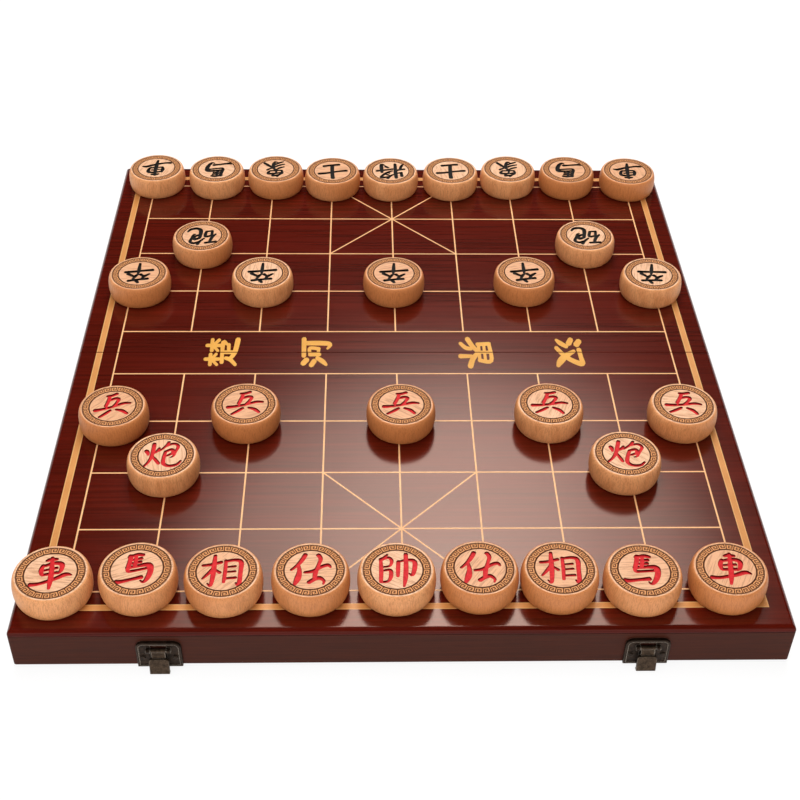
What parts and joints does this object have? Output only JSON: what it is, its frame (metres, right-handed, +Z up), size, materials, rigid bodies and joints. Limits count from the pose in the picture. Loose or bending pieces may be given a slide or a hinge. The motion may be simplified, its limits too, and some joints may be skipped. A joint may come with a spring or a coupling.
{
  "type": "xiangqi box",
  "caption": "Folding game box: hinged trays open flat into a ruled playing board, set out with round turned men, and close with swinging clasps.",
  "frame": {"origin": "middle of the open box on the surface it stands on, under the fold", "axes": "+X to the right along the fold, -Y towards the red side and its clasps, +Z up out of the playing surface"},
  "size_m": [0.4341, 0.5008, 0.0459],
  "materials": {
    "turned_beech": "pale turned beech, lacquered, with a scorched ring and a painted character",
    "lacquered_panel": "dark red-brown streaked board under clear gloss, gilt lines",
    "wrapped_rail": "rails wrapped in matt dark brown film",
    "lining": "short-pile flock",
    "hinge_brass": "dull brass",
    "bronze": "antique bronze, rubbed lighter on its edges"
  },
  "bodies": {
    "near_half": {"near_fold_rail": "wrapped_rail", "near_front_rail": "wrapped_rail", "near_hinge_screws": "hinge_brass", "near_left_rail": "wrapped_rail", "near_lining": "lining", "near_panel": "lacquered_panel", "near_right_rail": "wrapped_rail", "left_hinge_near_leaf": "hinge_brass", "right_hinge_near_leaf": "hinge_brass", "hinge_pins": "hinge_brass", "left_hasp_plate": "bronze", "right_hasp_plate": "bronze", "hasp_pivot_pins": "bronze", "hasp_tacks": "bronze"},
    "far_half": {"far_back_rail": "wrapped_rail", "far_fold_rail": "wrapped_rail", "far_hinge_screws": "hinge_brass", "far_left_rail": "wrapped_rail", "far_lining": "lining", "far_panel": "lacquered_panel", "far_right_rail": "wrapped_rail", "left_hinge_far_leaf": "hinge_brass", "right_hinge_far_leaf": "hinge_brass", "left_catch_plate": "bronze", "right_catch_plate": "bronze", "catch_tacks": "bronze"},
    "left_bill": {"left_hasp_bill": "bronze"},
    "right_bill": {"right_hasp_bill": "bronze"},
    "black_advisor_left": {"black_advisor_left": "turned_beech"},
    "black_advisor_right": {"black_advisor_right": "turned_beech"},
    "black_cannon_left": {"black_cannon_left": "turned_beech"},
    "black_cannon_right": {"black_cannon_right": "turned_beech"},
    "black_chariot_left": {"black_chariot_left": "turned_beech"},
    "black_chariot_right": {"black_chariot_right": "turned_beech"},
    "black_elephant_left": {"black_elephant_left": "turned_beech"},
    "black_elephant_right": {"black_elephant_right": "turned_beech"},
    "black_general": {"black_general": "turned_beech"},
    "black_horse_left": {"black_horse_left": "turned_beech"},
    "black_horse_right": {"black_horse_right": "turned_beech"},
    "black_soldier_1": {"black_soldier_1": "turned_beech"},
    "black_soldier_2": {"black_soldier_2": "turned_beech"},
    "black_soldier_3": {"black_soldier_3": "turned_beech"},
    "black_soldier_4": {"black_soldier_4": "turned_beech"},
    "black_soldier_5": {"black_soldier_5": "turned_beech"},
    "red_advisor_left": {"red_advisor_left": "turned_beech"},
    "red_advisor_right": {"red_advisor_right": "turned_beech"},
    "red_cannon_left": {"red_cannon_left": "turned_beech"},
    "red_cannon_right": {"red_cannon_right": "turned_beech"},
    "red_chariot_left": {"red_chariot_left": "turned_beech"},
    "red_chariot_right": {"red_chariot_right": "turned_beech"},
    "red_elephant_left": {"red_elephant_left": "turned_beech"},
    "red_elephant_right": {"red_elephant_right": "turned_beech"},
    "red_general": {"red_general": "turned_beech"},
    "red_horse_left": {"red_horse_left": "turned_beech"},
    "red_horse_right": {"red_horse_right": "turned_beech"},
    "red_soldier_1": {"red_soldier_1": "turned_beech"},
    "red_soldier_2": {"red_soldier_2": "turned_beech"},
    "red_soldier_3": {"red_soldier_3": "turned_beech"},
    "red_soldier_4": {"red_soldier_4": "turned_beech"},
    "red_soldier_5": {"red_soldier_5": "turned_beech"}
  },
  "joints": [
    {"name": "fold", "type": "hinge", "parent": "near_half", "child": "far_half", "pos_m": [0, 0, 0.0014], "axis": [-1, 0, 0], "range_deg": [0, 180]},
    {"name": "hasp_left", "type": "hinge", "parent": "near_half", "child": "left_bill", "pos_m": [-0.1354, -0.248, 0.01575], "axis": [-1, 0, 0], "range_deg": [-9, 60]},
    {"name": "hasp_right", "type": "hinge", "parent": "near_half", "child": "right_bill", "pos_m": [0.1354, -0.248, 0.01575], "axis": [-1, 0, 0], "range_deg": [-9, 60]},
    {"name": "lift_black_advisor_left", "type": "slide", "parent": "far_half", "child": "black_advisor_left", "axis": [0, 0, 1], "range_m": [0, 0.06]},
    {"name": "lift_black_advisor_right", "type": "slide", "parent": "far_half", "child": "black_advisor_right", "axis": [0, 0, 1], "range_m": [0, 0.06]},
    {"name": "lift_black_cannon_left", "type": "slide", "parent": "far_half", "child": "black_cannon_left", "axis": [0, 0, 1], "range_m": [0, 0.06]},
    {"name": "lift_black_cannon_right", "type": "slide", "parent": "far_half", "child": "black_cannon_right", "axis": [0, 0, 1], "range_m": [0, 0.06]},
    {"name": "lift_black_chariot_left", "type": "slide", "parent": "far_half", "child": "black_chariot_left", "axis": [0, 0, 1], "range_m": [0, 0.06]},
    {"name": "lift_black_chariot_right", "type": "slide", "parent": "far_half", "child": "black_chariot_right", "axis": [0, 0, 1], "range_m": [0, 0.06]},
    {"name": "lift_black_elephant_left", "type": "slide", "parent": "far_half", "child": "black_elephant_left", "axis": [0, 0, 1], "range_m": [0, 0.06]},
    {"name": "lift_black_elephant_right", "type": "slide", "parent": "far_half", "child": "black_elephant_right", "axis": [0, 0, 1], "range_m": [0, 0.06]},
    {"name": "lift_black_general", "type": "slide", "parent": "far_half", "child": "black_general", "axis": [0, 0, 1], "range_m": [0, 0.06]},
    {"name": "lift_black_horse_left", "type": "slide", "parent": "far_half", "child": "black_horse_left", "axis": [0, 0, 1], "range_m": [0, 0.06]},
    {"name": "lift_black_horse_right", "type": "slide", "parent": "far_half", "child": "black_horse_right", "axis": [0, 0, 1], "range_m": [0, 0.06]},
    {"name": "lift_black_soldier_1", "type": "slide", "parent": "far_half", "child": "black_soldier_1", "axis": [0, 0, 1], "range_m": [0, 0.06]},
    {"name": "lift_black_soldier_2", "type": "slide", "parent": "far_half", "child": "black_soldier_2", "axis": [0, 0, 1], "range_m": [0, 0.06]},
    {"name": "lift_black_soldier_3", "type": "slide", "parent": "far_half", "child": "black_soldier_3", "axis": [0, 0, 1], "range_m": [0, 0.06]},
    {"name": "lift_black_soldier_4", "type": "slide", "parent": "far_half", "child": "black_soldier_4", "axis": [0, 0, 1], "range_m": [0, 0.06]},
    {"name": "lift_black_soldier_5", "type": "slide", "parent": "far_half", "child": "black_soldier_5", "axis": [0, 0, 1], "range_m": [0, 0.06]},
    {"name": "lift_red_advisor_left", "type": "slide", "parent": "near_half", "child": "red_advisor_left", "axis": [0, 0, 1], "range_m": [0, 0.06]},
    {"name": "lift_red_advisor_right", "type": "slide", "parent": "near_half", "child": "red_advisor_right", "axis": [0, 0, 1], "range_m": [0, 0.06]},
    {"name": "lift_red_cannon_left", "type": "slide", "parent": "near_half", "child": "red_cannon_left", "axis": [0, 0, 1], "range_m": [0, 0.06]},
    {"name": "lift_red_cannon_right", "type": "slide", "parent": "near_half", "child": "red_cannon_right", "axis": [0, 0, 1], "range_m": [0, 0.06]},
    {"name": "lift_red_chariot_left", "type": "slide", "parent": "near_half", "child": "red_chariot_left", "axis": [0, 0, 1], "range_m": [0, 0.06]},
    {"name": "lift_red_chariot_right", "type": "slide", "parent": "near_half", "child": "red_chariot_right", "axis": [0, 0, 1], "range_m": [0, 0.06]},
    {"name": "lift_red_elephant_left", "type": "slide", "parent": "near_half", "child": "red_elephant_left", "axis": [0, 0, 1], "range_m": [0, 0.06]},
    {"name": "lift_red_elephant_right", "type": "slide", "parent": "near_half", "child": "red_elephant_right", "axis": [0, 0, 1], "range_m": [0, 0.06]},
    {"name": "lift_red_general", "type": "slide", "parent": "near_half", "child": "red_general", "axis": [0, 0, 1], "range_m": [0, 0.06]},
    {"name": "lift_red_horse_left", "type": "slide", "parent": "near_half", "child": "red_horse_left", "axis": [0, 0, 1], "range_m": [0, 0.06]},
    {"name": "lift_red_horse_right", "type": "slide", "parent": "near_half", "child": "red_horse_right", "axis": [0, 0, 1], "range_m": [0, 0.06]},
    {"name": "lift_red_soldier_1", "type": "slide", "parent": "near_half", "child": "red_soldier_1", "axis": [0, 0, 1], "range_m": [0, 0.06]},
    {"name": "lift_red_soldier_2", "type": "slide", "parent": "near_half", "child": "red_soldier_2", "axis": [0, 0, 1], "range_m": [0, 0.06]},
    {"name": "lift_red_soldier_3", "type": "slide", "parent": "near_half", "child": "red_soldier_3", "axis": [0, 0, 1], "range_m": [0, 0.06]},
    {"name": "lift_red_soldier_4", "type": "slide", "parent": "near_half", "child": "red_soldier_4", "axis": [0, 0, 1], "range_m": [0, 0.06]},
    {"name": "lift_red_soldier_5", "type": "slide", "parent": "near_half", "child": "red_soldier_5", "axis": [0, 0, 1], "range_m": [0, 0.06]}
  ]
}
